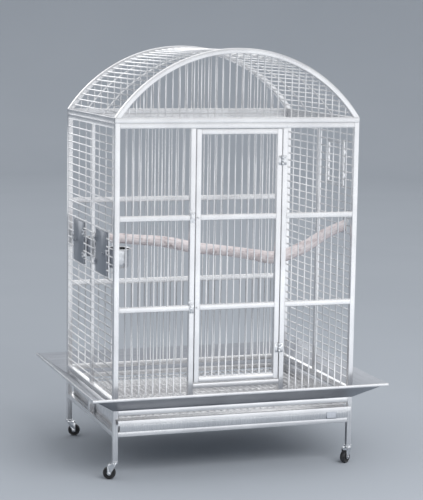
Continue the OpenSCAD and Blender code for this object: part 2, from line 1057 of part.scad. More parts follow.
// Perch: a natural branch swept through its stations, with cut ends
function blend(a, b, c, d, t) =
    0.5 * (2 * b + (c - a) * t + (2 * a - 5 * b + 4 * c - d) * t * t + (3 * b - a - 3 * c + d) * t * t * t);
function station(i) = branch[max(0, min(len(branch) - 1, i))];
function branch_at(i, t) = blend(station(i - 1), station(i), station(i + 1), station(i + 2), t);
branch_line = concat(
    [for (i = [0 : len(branch) - 2], s = [0 : perch_steps - 1]) branch_at(i, s / perch_steps)],
    [branch[len(branch) - 1]]
);
function perch_point(b) = [
    perch_left + b[0] * (perch_right - perch_left), -b[0] * perch_skew, perch_z + b[1] * perch_sag
];
function perch_ring(i) =
    let (
        last = len(branch_line) - 1,
        p = perch_point(branch_line[i]),
        before = perch_point(branch_line[max(0, i - 1)]),
        after = perch_point(branch_line[min(last, i + 1)]),
        lean = 1 / cos(atan((after[2] - before[2]) / (after[0] - before[0]))),
        r = perch_d / 2 * branch_line[i][2]
    )
    [for (k = [0 : perch_sides - 1])
        let (
            a = 360 * k / perch_sides,
            knot = 1 + knot_oval * sin(2 * a + 31 * i) + knot_lump * cos(3 * a - 17 * i)
        )
        [p[0], p[1] + r * knot * cos(a), p[2] + r * knot * lean * sin(a)]];

module perch() {
    rings = len(branch_line);
    n = perch_sides;
    points = [for (i = [0 : rings - 1]) each perch_ring(i)];
    walls = [for (i = [0 : rings - 2], k = [0 : n - 1])
        each [
            [i * n + k, i * n + (k + 1) % n, (i + 1) * n + k],
            [i * n + (k + 1) % n, (i + 1) * n + (k + 1) % n, (i + 1) * n + k]
        ]];
    caps = [[for (k = [n - 1 : -1 : 0]) k], [for (k = [0 : n - 1]) (rings - 1) * n + k]];
    color(bark)
        polyhedron(points, concat(walls, caps));
}

// Plates at the branch's ends, with the right one's bolt, washer and nut between the rods
module perch_fixings() {
    plate = perch_d + 2 * perch_plate_edge;
    right_h = plate * 1.4;
    gap_z = rod_z(floor((perch_end_z - bottom_top) / rod_step) + 0.5);
    color(zinc) {
        translate([-xi, -plate / 4, perch_z - plate / 2])
            cube([perch_plate_t, plate / 2, plate]);
        translate([perch_right, -perch_skew - plate / 2, perch_end_z - right_h / 2])
            cube([perch_plate_t, plate, right_h]);
        translate([stile_face, -perch_skew, gap_z])
            rotate([0, 90, 0])
                cylinder(r = perch_bolt_r, h = bar_d + weld_gap + perch_bolt_out);
        translate([hw + weld_gap, -perch_skew, gap_z])
            rotate([0, 90, 0]) {
                cylinder(r = washer_r, h = washer_t);
                cylinder(r = nut_r, h = nut_t, $fn = 6);
            }
    }
}

// Slide-out tray: folded pan with a proud front and a turned-down lip
module tray() {
    depth = tray_back - tray_front;
    color(steel)
        translate([0, tray_front, tray_z]) {
            difference() {
                translate([-tray_half, 0, 0])
                    cube([2 * tray_half, depth, tray_h]);
                translate([-tray_half + sheet, sheet, sheet])
                    cube([2 * (tray_half - sheet), depth - 2 * sheet, tray_h]);
            }
            translate([-tray_half, 0, 0])
                cube([2 * tray_half, sheet, face_top - tray_z]);
            translate([0, 0, face_top - tray_z])
                tray_lip();
        }
}

module tray_lip() {
    half = tray_half + tray_lip_side;
    translate([-half, -tray_lip_out, -sheet])
        cube([2 * half, tray_lip_out, sheet]);
    translate([-half, -tray_lip_out, -tray_lip_drop])
        cube([2 * half, sheet, tray_lip_drop]);
}

// Folded finger pull on the tray's face
module tray_pull() {
    h = face_top - tray_lip_drop - tray_z - 2 * pull_foot;
    color(sheet_grey)
        translate([xi - pull_inset - pull_w, tray_front - plate_t, tray_z + pull_foot]) {
            cube([pull_w, plate_t, h]);
            translate([pull_edge, -pull_out, 0])
                cube([pull_w - 2 * pull_edge, pull_out, plate_t]);
        }
}

// Slide-out grate: flat cross bars with wires welded on top
module grate_frame() {
    step = (grate_back - grate_front - grate_bar_w) / (grate_bars - 1);
    color(steel)
        for (i = [0 : grate_bars - 1])
            translate([-grate_half, grate_front + i * step, grate_z])
                cube([2 * grate_half, grate_bar_w, grate_bar]);
}

module grate_wires() {
    color(steel)
        for (i = [0 : wire_spaces])
            translate([-wire_reach + i * 2 * wire_reach / wire_spaces, grate_front, wire_z])
                rotate([-90, 0, 0])
                    cylinder(d = wire_d, h = grate_back - grate_front);
}

// Casters: the mount and king pin stay on the leg, the fork swivels and the wheel turns
module caster_mounts() {
    color(zinc)
        for (c = caster_at)
            translate([c[0] * caster_x, c[1] * caster_y, 0]) {
                translate([0, 0, crown_top + slide_gap])
                    cylinder(r = crown_r + mount_rim, h = mount_h);
                translate([0, 0, crown_low - king_head_h])
                    cylinder(r = king_r, h = leg_foot - crown_low + king_head_h);
                translate([0, 0, crown_low - king_head_h])
                    cylinder(r = king_r + king_head_rim, h = king_head_h - slide_gap);
            }
}

module at_caster(i) {
    translate([caster_at[i][0] * caster_x, caster_at[i][1] * caster_y, 0])
        rotate([0, 0, caster_yaw[i]])
            children();
}

module caster_fork(i) {
    axle_half = cheek_in + cheek_t + axle_proud;
    color(zinc)
        at_caster(i)
            difference() {
                union() {
                    translate([0, 0, crown_low])
                        cylinder(r = crown_r, h = crown_h);
                    translate([0, -cheek_in - cheek_t, crown_low])
                        cube([trail, 2 * (cheek_in + cheek_t), cheek_t]);
                    for (y = [-cheek_in - cheek_t, cheek_in])
                        translate([0, y + cheek_t, 0])
                            rotate([90, 0, 0])
                                linear_extrude(cheek_t)
                                    fork_cheek();
                    translate([trail, axle_half, wheel_r])
                        rotate([90, 0, 0])
                            cylinder(r = axle_r, h = 2 * axle_half);
                }
                translate([0, 0, crown_low - past])
                    cylinder(r = king_r + pin_gap, h = crown_h + 2 * past);
            }
}

// Side of the fork, narrowing from the crown to the axle
module fork_cheek() {
    top = crown_low + cheek_t;
    polygon([
        [-cheek_heel, top], [-cheek_heel, crown_low - cheek_heel_h], [trail - cheek_half, wheel_r],
        [trail + cheek_half, wheel_r], [trail + cheek_half, crown_low - cheek_heel], [trail, top]
    ]);
    translate([trail, wheel_r])
        circle(r = cheek_eye_r);
}

// Wheel: crowned tread on a dished hub
module caster_wheel(i) {
    half = wheel_w / 2;
    hub_r = axle_r + hub_rim;
    tyre_r = wheel_r - tyre_t;
    face = [
        [axle_r + pin_gap, half + hub_proud], [hub_r, half + hub_proud], [hub_r + dish_draft, half - dish],
        [tyre_r, half - dish], [tyre_r + tyre_draft, half], [wheel_r - tread_ease, half],
        [wheel_r, half - 2 * tread_ease]
    ];
    color(black)
        at_caster(i)
            translate([trail, 0, wheel_r])
                rotate([90, 0, 0])
                    rotate_extrude()
                        polygon(concat(face, [for (k = [len(face) - 1 : -1 : 0]) [face[k][0], -face[k][1]]]));
}

module caster_fork_fl() {
    caster_fork(0);
}

module caster_fork_fr() {
    caster_fork(1);
}

module caster_fork_rl() {
    caster_fork(2);
}

module caster_fork_rr() {
    caster_fork(3);
}

module caster_wheel_fl() {
    caster_wheel(0);
}

module caster_wheel_fr() {
    caster_wheel(1);
}

module caster_wheel_rl() {
    caster_wheel(2);
}

module caster_wheel_rr() {
    caster_wheel(3);
}

stand_legs();
stand_rails();
stand_runners();
caster_mounts();
corner_posts();
front_jambs();
front_rails();
front_bars();
back_rails();
back_bars();
side_rails();
side_uprights();
left_rods();
right_rods();
small_stiles();
hinge_leaves();
hinge_pins();
latch_plates();
dome_rails();
dome_side_rails();
dome_arches();
dome_bars();
vault_rods();
vault_hoops();
skirt_front();
skirt_back();
skirt_left();
skirt_right();
perch();
perch_fixings();
door_stiles();
door_rails();
door_bars();
door_hinge_straps();
latch_studs();
latch_hook_upper();
latch_hook_lower();
feeder_door_front();
feeder_ring_front();
feeder_cup_front();
feeder_latch_front();
feeder_door_rear();
feeder_ring_rear();
feeder_cup_rear();
feeder_latch_rear();
access_door();
access_latch();
tray();
tray_pull();
grate_frame();
grate_wires();
caster_fork_fl();
caster_wheel_fl();
caster_fork_fr();
caster_wheel_fr();
caster_fork_rl();
caster_wheel_rl();
caster_fork_rr();
caster_wheel_rr();
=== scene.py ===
import json
import math

import bmesh
import bpy
import numpy as np
from mathutils import Matrix, Vector, noise


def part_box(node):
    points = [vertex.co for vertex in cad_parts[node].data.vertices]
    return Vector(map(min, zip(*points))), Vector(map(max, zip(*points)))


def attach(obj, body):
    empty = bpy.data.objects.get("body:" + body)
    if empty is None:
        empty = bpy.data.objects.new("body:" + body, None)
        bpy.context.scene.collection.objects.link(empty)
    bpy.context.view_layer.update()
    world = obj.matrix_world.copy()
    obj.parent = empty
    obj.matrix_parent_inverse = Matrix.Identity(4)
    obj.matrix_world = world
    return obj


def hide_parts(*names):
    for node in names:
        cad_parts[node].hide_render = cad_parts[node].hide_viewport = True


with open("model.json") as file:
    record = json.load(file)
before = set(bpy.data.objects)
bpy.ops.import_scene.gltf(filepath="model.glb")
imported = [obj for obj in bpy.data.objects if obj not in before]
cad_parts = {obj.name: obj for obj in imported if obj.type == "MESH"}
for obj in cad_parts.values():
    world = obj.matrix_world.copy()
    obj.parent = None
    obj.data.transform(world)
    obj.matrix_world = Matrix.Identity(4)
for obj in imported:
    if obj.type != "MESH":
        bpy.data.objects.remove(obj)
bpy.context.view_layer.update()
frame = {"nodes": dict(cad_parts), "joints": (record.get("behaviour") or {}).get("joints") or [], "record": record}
NODES = frame["nodes"]
BODY = {n: body for body, members in frame["record"]["behaviour"]["bodies"].items() for n in members}
SLOT = {part["node"]: part["material_slot"] for part in frame["record"]["subparts"]}
JOINTS = {joint["name"]: joint for joint in frame["joints"]}
CASTERS = ("fl", "fr", "rl", "rr")

# Sizes that several pieces share, in metres
POST_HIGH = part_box("corner_posts")[1]
HALF_W, HALF_D = POST_HIGH.x, POST_HIGH.y
JAMB_LOW, JAMB_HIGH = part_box("front_jambs")
TUBE = JAMB_HIGH.y - JAMB_LOW.y
TUBE_CORNER, FLAT_CORNER = 0.0022, 0.001
END_EASE = 0.0006
BAR_R = (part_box("front_bars")[1].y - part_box("front_bars")[0].y) / 2
SHEET_T = 0.0015
LEAF_T = 0.0025
SMALL_LEAF_T = 0.002

# How CAD meshes are read and pieces are smoothed
LEAST_SOLID = 0.002
CORNER_DIGITS, STATION_DIGITS = 5, 4
MERGE_DISTANCE = 1e-6
FLAT_ANGLE, SHARP_ANGLE, SMOOTH_ANGLE = (math.radians(a) for a in (1, 30, 38))
UV_NAME = "drawn"

# The two axes across X, Y and Z: in turning order for outlines, and in rising order for flat faces
ACROSS = ((1, 2), (2, 0), (0, 1))
FACE_AXES = ((1, 2), (0, 2), (0, 1))

# Points in round outlines
CORNER_STEPS = 3
BEND_STEPS = 4
ROD_SIDES = 14
TURNED_SIDES = 28

# Camera fitted to the photograph
CAMERA_AT = Vector((-2.636, -7.763, 2.095))
YAW, PITCH, ROLL = (math.radians(a) for a in (18.90, 7.49, 0.842))
FOCAL_PX = 1649.8
IMAGE_LONG_PX = 500
SENSOR_MM = 36


# Materials

EVEN = (1.0, 1.0, 1.0)
BLACK, WHITE = (0.0, 0.0, 0.0), (1.0, 1.0, 1.0)
NOISE_LOW, NOISE_HIGH = 0.3, 0.7


def new_material(name, **settings):
    mat = bpy.data.materials.new(name)
    mat.use_nodes = True
    shader = mat.node_tree.nodes["Principled BSDF"]
    for socket, value in settings.items():
        shader.inputs[socket.replace("_", " ")].default_value = value
    return mat, mat.node_tree, shader


def coordinates(tree, name):
    return tree.nodes.new("ShaderNodeTexCoord").outputs[name]


def add_noise(tree, coords, scale, detail=4.0, stretch=EVEN):
    """Noise over coordinates that are scaled along each axis first."""
    mapping = tree.nodes.new("ShaderNodeMapping")
    mapping.inputs["Scale"].default_value = stretch
    tree.links.new(coords, mapping.inputs["Vector"])
    texture = tree.nodes.new("ShaderNodeTexNoise")
    texture.inputs["Scale"].default_value = scale
    texture.inputs["Detail"].default_value = detail
    tree.links.new(mapping.outputs["Vector"], texture.inputs["Vector"])
    return texture.outputs["Fac"]


def add_ramp(tree, value, stops):
    ramp = tree.nodes.new("ShaderNodeValToRGB")
    while len(ramp.color_ramp.elements) < len(stops):
        ramp.color_ramp.elements.new(0.5)
    for element, (at, colour) in zip(ramp.color_ramp.elements, stops):
        element.position = at
        element.color = (*colour, 1.0)
    tree.links.new(value, ramp.inputs["Fac"])
    return ramp.outputs["Color"]


def two_tones(tree, value, dark, light):
    return add_ramp(tree, value, [(NOISE_LOW, dark), (NOISE_HIGH, light)])


def add_range(tree, value, low, high):
    span = tree.nodes.new("ShaderNodeMapRange")
    span.inputs["From Min"].default_value = NOISE_LOW
    span.inputs["From Max"].default_value = NOISE_HIGH
    span.inputs["To Min"].default_value = low
    span.inputs["To Max"].default_value = high
    tree.links.new(value, span.inputs["Value"])
    return span.outputs["Result"]


def add_bump(tree, shader, height, strength, distance):
    bump = tree.nodes.new("ShaderNodeBump")
    bump.inputs["Strength"].default_value = strength
    bump.inputs["Distance"].default_value = distance
    tree.links.new(height, bump.inputs["Height"])
    tree.links.new(bump.outputs["Normal"], shader.inputs["Normal"])


def blend_colours(tree, amount, first, second, mode="MIX"):
    mix = tree.nodes.new("ShaderNodeMix")
    mix.data_type = "RGBA"
    mix.blend_type = mode
    if isinstance(amount, float):
        mix.inputs["Factor"].default_value = amount
    else:
        tree.links.new(amount, mix.inputs["Factor"])
    tree.links.new(first, mix.inputs["A"])
    tree.links.new(second, mix.inputs["B"])
    return mix.outputs["Result"]


def steel(name, dark, light, smooth, rough, streaks):
    """Stainless steel: fine drawing streaks along the piece over slow cloudy changes."""
    mat, tree, shader = new_material(name, Metallic=1.0, Anisotropic=0.6)
    tangent = tree.nodes.new("ShaderNodeTangent")
    tangent.direction_type = "UV_MAP"
    tangent.uv_map = UV_NAME
    tree.links.new(tangent.outputs["Tangent"], shader.inputs["Tangent"])
    uv = coordinates(tree, "UV")
    place = coordinates(tree, "Object")
    lines = add_noise(tree, uv, scale=1.0, detail=6.0, stretch=(streaks, 3.0, 1.0))
    clouds = add_noise(tree, place, scale=7.0, detail=3.0)
    fine = two_tones(tree, lines, dark, light)
    slow = two_tones(tree, clouds, (0.86, 0.86, 0.87), WHITE)
    tree.links.new(blend_colours(tree, 1.0, fine, slow, "MULTIPLY"), shader.inputs["Base Color"])
    tree.links.new(add_range(tree, lines, smooth, rough), shader.inputs["Roughness"])
    add_bump(tree, shader, lines, strength=0.12, distance=0.0003)
    return mat


def plated(name):
    """Bright plating with faint wear and finger marks."""
    mat, tree, shader = new_material(name, Metallic=1.0)
    place = coordinates(tree, "Object")
    marks = add_noise(tree, place, scale=60.0)
    grain = add_noise(tree, place, scale=900.0, detail=2.0)
    colour = two_tones(tree, marks, (0.58, 0.59, 0.61), (0.77, 0.78, 0.79))
    tree.links.new(colour, shader.inputs["Base Color"])
    tree.links.new(add_range(tree, marks, low=0.08, high=0.22), shader.inputs["Roughness"])
    add_bump(tree, shader, grain, strength=0.05, distance=0.0001)
    return mat


def rubber(name):
    """Black rubber with a little dust."""
    mat, tree, shader = new_material(name, Specular_IOR_Level=0.4)
    place = coordinates(tree, "Object")
    dust = add_noise(tree, place, scale=45.0)
    grain = add_noise(tree, place, scale=1400.0, detail=2.0)
    colour = add_ramp(tree, dust, [(0.35, (0.012, 0.012, 0.013)), (0.75, (0.045, 0.045, 0.047))])
    tree.links.new(colour, shader.inputs["Base Color"])
    tree.links.new(add_range(tree, dust, low=0.38, high=0.6), shader.inputs["Roughness"])
    add_bump(tree, shader, grain, strength=0.2, distance=0.0002)
    return mat


def peeled_wood(name):
    """Bare branch: pale pinkish wood, long grain, darker patches of bark and knots."""
    mat, tree, shader = new_material(name, Specular_IOR_Level=0.25)
    uv = coordinates(tree, "UV")
    place = coordinates(tree, "Object")
    grain = add_noise(tree, uv, scale=1.0, detail=8.0, stretch=(260.0, 18.0, 1.0))
    patches = add_noise(tree, place, scale=22.0, detail=6.0, stretch=(1.0, 1.6, 1.6))
    specks = add_noise(tree, place, scale=150.0, stretch=(0.5, 1.0, 1.0))
    pale = [(NOISE_LOW, (0.70, 0.60, 0.60)), (0.5, (0.89, 0.81, 0.81)), (NOISE_HIGH, (0.96, 0.91, 0.91))]
    wood = add_ramp(tree, grain, pale)
    bark = add_ramp(tree, specks, [(0.4, (0.34, 0.26, 0.26)), (0.6, (0.70, 0.60, 0.60))])
    cover = add_ramp(tree, patches, [(0.52, BLACK), (0.66, (0.65, 0.65, 0.65))])
    tree.links.new(blend_colours(tree, cover, wood, bark), shader.inputs["Base Color"])
    tree.links.new(add_range(tree, grain, low=0.55, high=0.8), shader.inputs["Roughness"])
    add_bump(tree, shader, grain, strength=0.35, distance=0.0015)
    return mat


TUBE_STEEL = steel("tube_steel", dark=(0.73, 0.73, 0.735), light=(0.89, 0.89, 0.895),
                   smooth=0.20, rough=0.34, streaks=900.0)
SHEET_STEEL = steel("sheet_steel", dark=(0.30, 0.32, 0.35), light=(0.45, 0.47, 0.51),
                    smooth=0.26, rough=0.40, streaks=500.0)
PLATED = plated("bright_fittings")
BY_SLOT = {
    "tube_steel": TUBE_STEEL,
    "sheet_steel": SHEET_STEEL,
    "bright_fittings": PLATED,
    "wheel_rubber": rubber("wheel_rubber"),
    "branch_wood": peeled_wood("branch_wood"),
}


# Shapes

class Shape:
    """Points and faces of one piece, with coordinates around and along each skin in metres."""

    def __init__(self):
        self.points, self.faces, self.coords = [], [], []

    def loft(self, rings, along=False, capped=True):
        """Skins closed rings of equal counts. along joins the last ring to the first."""
        rings = [[Vector(p) for p in ring] for ring in rings]
        base, count, steps = len(self.points), len(rings[0]), len(rings)
        for ring in rings:
            self.points.extend(ring)
        arc = [0.0]
        for k in range(count):
            arc.append(arc[-1] + (rings[0][k] - rings[0][(k + 1) % count]).length)
        run = [0.0]
        for i in range(steps):
            run.append(run[-1] + (rings[i][0] - rings[(i + 1) % steps][0]).length)
        for i in range(steps if along else steps - 1):
            near, far = base + i * count, base + (i + 1) % steps * count
            for k in range(count):
                nxt = (k + 1) % count
                self.faces.append([near + k, near + nxt, far + nxt, far + k])
                corners = ((k, i), (k + 1, i), (k + 1, i + 1), (k, i + 1))
                self.coords.extend([(arc[u], run[v]) for u, v in corners])
        if capped and not along:
            for ring, order in ((0, range(count - 1, -1, -1)), (steps - 1, range(count))):
                self.faces.append([base + ring * count + k for k in order])
                middle = sum(rings[ring], Vector()) / count
                offsets = [rings[ring][k] - middle for k in order]
                self.coords.extend([(offset.x, offset.z) for offset in offsets])
        return self

    def join(self, other):
        base = len(self.points)
        self.points.extend(other.points)
        self.faces.extend([[base + k for k in face] for face in other.faces])
        self.coords.extend(other.coords)

    def moved(self, matrix):
        self.points = [matrix @ Vector(p) for p in self.points]
        return self


def make_piece(name, shape, body, material, replaces=()):
    mesh = bpy.data.meshes.new(name)
    mesh.from_pydata([tuple(p) for p in shape.points], [], shape.faces)
    layer = mesh.uv_layers.new(name=UV_NAME)
    layer.data.foreach_set("uv", np.array(shape.coords, np.float32).ravel())
    work = bmesh.new()
    work.from_mesh(mesh)
    bmesh.ops.recalc_face_normals(work, faces=work.faces[:])
    work.to_mesh(mesh)
    work.free()
    mesh.shade_smooth()
    mesh.set_sharp_from_angle(angle=SMOOTH_ANGLE)
    mesh.materials.append(material)
    piece = bpy.data.objects.new(name, mesh)
    bpy.context.scene.collection.objects.link(piece)
    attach(piece, body)
    if replaces:
        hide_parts(*replaces)


def stand_for(node, shape):
    """Makes a piece that takes the place of a CAD node."""
    slot = SLOT[node]
    make_piece("fine_" + node, shape, BODY[node], BY_SLOT[slot], [node])


def mesh_points(mesh):
    points = np.empty(len(mesh.vertices) * 3, np.float32)
    mesh.vertices.foreach_get("co", points)
    return points.reshape(-1, 3)


def solids(node):
    """Lowest and highest corners of the separate solids in a CAD node."""
    mesh = NODES[node].data
    mesh.calc_loop_triangles()
    rounded = np.round(mesh_points(mesh), CORNER_DIGITS)
    places, group = np.unique(rounded, axis=0, return_inverse=True)
    corners = np.empty(len(mesh.loop_triangles) * 3, np.int32)
    mesh.loop_triangles.foreach_get("vertices", corners)
    faces = group.ravel()[corners].reshape(-1, 3)
    link = list(range(len(faces)))

    def root(i):
        while link[i] != i:
            link[i] = link[link[i]]
            i = link[i]
        return i

    meets = {}
    for i, face in enumerate(faces):
        for a, b in zip(face, np.roll(face, 1)):
            meets.setdefault((min(a, b), max(a, b)), []).append(i)
    for sharers in meets.values():
        if len(sharers) == 2:
            link[root(sharers[0])] = root(sharers[1])
    roots = np.array([root(i) for i in range(len(faces))])
    spans = [places[faces[roots == r].ravel()] for r in np.unique(roots)]
    large = [s for s in spans if np.ptp(s, axis=0).max() > LEAST_SOLID]
    return [(Vector(s.min(0)), Vector(s.max(0))) for s in large]


def circle(radius, sides):
    turns = (2 * math.pi * k / sides for k in range(sides))
    return [(radius * math.cos(a), radius * math.sin(a)) for a in turns]


def rounded_rectangle(width, height, radius):
    """Outline with round corners, centred, counter-clockwise."""
    out = []
    for quarter, (sx, sy) in enumerate(((1, 1), (-1, 1), (-1, -1), (1, -1))):
        cx, cy = sx * (width / 2 - radius), sy * (height / 2 - radius)
        for s in range(CORNER_STEPS + 1):
            a = math.pi / 2 * (quarter + s / CORNER_STEPS)
            out.append((cx + radius * math.cos(a), cy + radius * math.sin(a)))
    return out


def arc_points(centre, radius, start, end, steps):
    """Points of a 2D arc, angles in degrees."""
    turns = (math.radians(start + (end - start) * s / steps) for s in range(steps + 1))
    return [(centre[0] + radius * math.cos(a), centre[1] + radius * math.sin(a)) for a in turns]


def sheet_outline(path, thickness, bend):
    """Outline of a folded sheet: its middle line with round bends, thickened to both sides."""
    path = [Vector(p) for p in path]
    line = [path[0]]
    for before, at, after in zip(path, path[1:], path[2:]):
        into, out = (before - at).normalized(), (after - at).normalized()
        half = into.angle(out) / 2
        reach = bend / math.tan(half)
        centre = at + (into + out).normalized() * (bend / math.sin(half))
        first, last = at + into * reach - centre, at + out * reach - centre
        for s in range(BEND_STEPS + 1):
            line.append(centre + bend * first.slerp(last, s / BEND_STEPS))
    line.append(path[-1])
    sides = [[], []]
    for i, p in enumerate(line):
        run = (line[min(i + 1, len(line) - 1)] - line[max(i - 1, 0)]).normalized()
        normal = Vector((-run.y, run.x)) * (thickness / 2)
        sides[0].append(p + normal)
        sides[1].append(p - normal)
    return sides[0] + sides[1][::-1]


def long_axis(low, high):
    size = high - low
    return max(range(3), key=lambda i: size[i])


def along_axis(axis, outline, centre, at):
    """Places a 2D outline across an axis at a distance along it."""
    side, up = ACROSS[axis]
    ring = []
    for u, v in outline:
        p = [0.0, 0.0, 0.0]
        p[axis] = at
        p[side] = centre[side] + u
        p[up] = centre[up] + v
        ring.append(p)
    return ring


def add_bar(shape, low, high, corner, ease):
    """Square or flat bar with round corners and eased ends."""
    axis = long_axis(low, high)
    side, up = ACROSS[axis]
    size, centre = high - low, (low + high) / 2
    full = rounded_rectangle(size[side], size[up], corner)
    small = rounded_rectangle(size[side] - 2 * ease, size[up] - 2 * ease, corner - ease / 2)
    start, end = low[axis], high[axis]
    stations = [(start, small), (start + ease, full), (end - ease, full), (end, small)]
    shape.loft([along_axis(axis, outline, centre, at) for at, outline in stations])


def bars_for(node, corner=TUBE_CORNER):
    shape = Shape()
    for low, high in solids(node):
        add_bar(shape, low, high, corner, END_EASE)
    stand_for(node, shape)


# Weld fillet: distance from the end and height over the rod, in shares of the weld's size
WELD = ((0.0, 1.0), (0.5, 0.42), (1.6, 0.0))


def add_rod(shape, axis, centre, start, end, radius, weld):
    """Round rod with a small weld fillet at each end."""
    steps = [(weld * d, radius + weld * h) for d, h in WELD]
    stations = [(start + d, r) for d, r in steps] + [(end - d, r) for d, r in reversed(steps)]
    shape.loft([along_axis(axis, circle(r, ROD_SIDES), centre, at) for at, r in stations])


def rods_for(node, weld):
    shape = Shape()
    for low, high in solids(node):
        axis = long_axis(low, high)
        side = (axis + 1) % 3
        radius = (high[side] - low[side]) / 2
        add_rod(shape, axis, (low + high) / 2, low[axis], high[axis], radius, weld)
    stand_for(node, shape)


def add_wire(shape, start, end, radius, sides):
    """Straight round wire between two points."""
    start, end = Vector(start), Vector(end)
    turn = Vector((0, 0, 1)).rotation_difference(end - start)
    offsets = [turn @ Vector((x, y, 0)) for x, y in circle(radius, sides)]
    shape.loft([[at + offset for offset in offsets] for at in (start, end)])


def lathe(profile, sides):
    """Rings of (radius, height) points turned about Z."""
    return [[(x, y, z) for x, y in circle(r, sides)] for r, z in profile]


def stood_on(at, axis):
    """Matrix that takes the Z axis to an axis through a point."""
    turn = Vector((0, 0, 1)).rotation_difference(Vector(axis)).to_matrix().to_4x4()
    return Matrix.Translation(at) @ turn


def add_turned(shape, profile, at, axis, sides=TURNED_SIDES):
    """Solid of (radius, height) points turned about an axis through a point."""
    shape.join(Shape().loft(lathe(profile, sides)).moved(stood_on(at, axis)))


# Heads of screws and rivets: radius and height in shares of the head's radius
SCREW = ((1, 0), (1, 0.3), (0.86, 0.52), (0.55, 0.66), (0.42, 0.66), (0.42, 0.3), (0.05, 0.3))
SCREW_R = 0.0032
RIVET = ((1, 0), (0.95, 0.25), (0.75, 0.48), (0.4, 0.6), (0.05, 0.62))
RIVET_SIDES = 20


def add_screw(shape, at, normal):
    """Round-headed screw with a socket."""
    add_turned(shape, [(SCREW_R * r, SCREW_R * z) for r, z in SCREW], at, normal)


def add_rivet(shape, at, normal, radius):
    add_turned(shape, [(radius * r, radius * z) for r, z in RIVET], at, normal, RIVET_SIDES)


def softened(node, bevel):
    """Takes the place of a CAD node with a copy whose sharp edges are broken."""
    work = bmesh.new()
    work.from_mesh(NODES[node].data)
    bmesh.ops.remove_doubles(work, verts=work.verts[:], dist=MERGE_DISTANCE)
    bmesh.ops.dissolve_limit(work, angle_limit=FLAT_ANGLE, verts=work.verts[:], edges=work.edges[:])
    sharp = [e for e in work.edges if e.is_manifold and e.calc_face_angle(0.0) > SHARP_ANGLE]
    bmesh.ops.bevel(work, geom=sharp, offset=bevel, segments=2, profile=0.5, affect="EDGES",
                    clamp_overlap=True)
    bmesh.ops.dissolve_degenerate(work, dist=MERGE_DISTANCE, edges=work.edges[:])
    work.normal_update()
    work.verts.index_update()
    shape = Shape()
    shape.points = [v.co.copy() for v in work.verts]
    for face in work.faces:
        shape.faces.append([v.index for v in face.verts])
        axis = max(range(3), key=lambda i: abs(face.normal[i]))
        side, up = FACE_AXES[axis]
        shape.coords.extend([(v.co[side], v.co[up]) for v in face.verts])
    work.free()
    stand_for(node, shape)


# Frame of the cage and the stand

BAR_WELD, ROD_WELD = 0.0022, 0.0009

for tube_node in ("stand_legs", "stand_rails", "corner_posts", "front_jambs", "front_rails",
                  "back_rails", "side_rails", "side_uprights", "dome_rails", "dome_side_rails",
                  "door_stiles", "door_rails"):
    bars_for(tube_node)
for flat_node in ("small_stiles", "grate_frame"):
    bars_for(flat_node, FLAT_CORNER)
for bar_node in ("front_bars", "back_bars", "door_bars", "dome_bars"):
    rods_for(bar_node, BAR_WELD)
for rod_node in ("left_rods", "right_rods", "vault_rods", "grate_wires"):
    rods_for(rod_node, ROD_WELD)


# Roof arches and hoops: each line of the outline runs down to the roof's rails at its own radius

RAIL_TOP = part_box("dome_rails")[1].z
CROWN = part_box("dome_arches")[1].z
ARCH_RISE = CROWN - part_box("dome_rails")[0].z - TUBE
ARCH_R = (HALF_W ** 2 + ARCH_RISE ** 2) / (2 * ARCH_RISE)
ARCH_Z = CROWN - ARCH_R
ARCH_STEPS = 96


def add_arch(shape, outline):
    """Sweeps an outline of (radius, y) points along the vault."""
    rings = []
    for s in range(ARCH_STEPS + 1):
        ring = []
        for radius, y in outline:
            foot = math.asin((RAIL_TOP - ARCH_Z) / radius)
            a = foot + (math.pi - 2 * foot) * s / ARCH_STEPS
            ring.append((radius * math.cos(a), y, ARCH_Z + radius * math.sin(a)))
        rings.append(ring)
    shape.loft(rings)


def arches():
    shape = Shape()
    for low, high in solids("dome_arches"):
        middle = (low.y + high.y) / 2
        outline = rounded_rectangle(TUBE, TUBE, TUBE_CORNER)
        add_arch(shape, [(ARCH_R - TUBE / 2 + u, middle + v) for u, v in outline])
    stand_for("dome_arches", shape)


def hoops():
    shape = Shape()
    for low, high in solids("vault_hoops"):
        middle = (low.y + high.y) / 2
        radius = high.z - ARCH_Z - BAR_R
        add_arch(shape, [(radius + u, middle + v) for u, v in circle(BAR_R, ROD_SIDES)])
    stand_for("vault_hoops", shape)


arches()
hoops()


# Skirt: sloping sheets with a folded rim whose lighter tube steel is a painted highlight along the lip, mitred
# seams and a flange on the stand

RIM_BAND, RIM_DROP = 0.003, 0.016
HEM_IN, HEM_RISE = 0.007, 0.002
SKIRT_BEND = 0.0022
FLANGE_LAP, FLANGE_GAP = 0.004, 0.0005
SEAM_R, SEAM_SIDES = 0.0011, 10
SEAM_INSET, SEAM_LIFT = 0.004, 0.003


